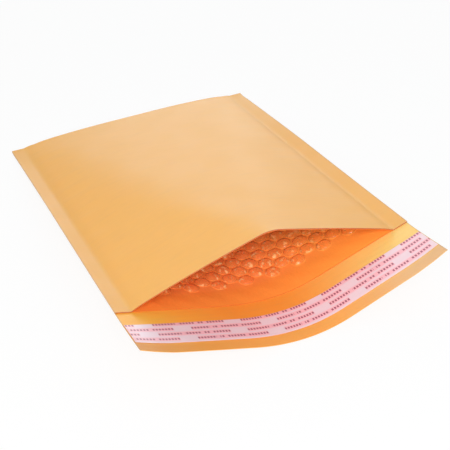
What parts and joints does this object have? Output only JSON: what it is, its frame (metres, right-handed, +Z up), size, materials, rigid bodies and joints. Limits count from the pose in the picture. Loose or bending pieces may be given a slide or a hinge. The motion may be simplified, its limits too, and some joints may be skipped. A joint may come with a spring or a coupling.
{
  "type": "padded envelope",
  "caption": "Open kraft mailing pouch lined with bubble film, with a flap that carries an adhesive strip under a release liner.",
  "frame": {"origin": "middle of the envelope's box, on the table that it lies on", "axes": "+X across the envelope, +Y from the open mouth and flap to the bottom fold, +Z up from the table"},
  "size_m": [0.2, 0.3206, 0.0503],
  "materials": {
    "kraft_paper": "golden brown kraft paper, smooth and faintly streaked",
    "bubble_film": "clear bubble film that shows the orange kraft behind it, glossy",
    "release_paper": "smooth coated release paper, pale pink with rows of small red dashes",
    "hot_melt": "tacky hot-melt adhesive, cream"
  },
  "bodies": {
    "root": {"paper_cover": "kraft_paper", "bubble_lining": "bubble_film", "release_liner": "release_paper", "adhesive_strip": "hot_melt"}
  },
  "joints": []
}
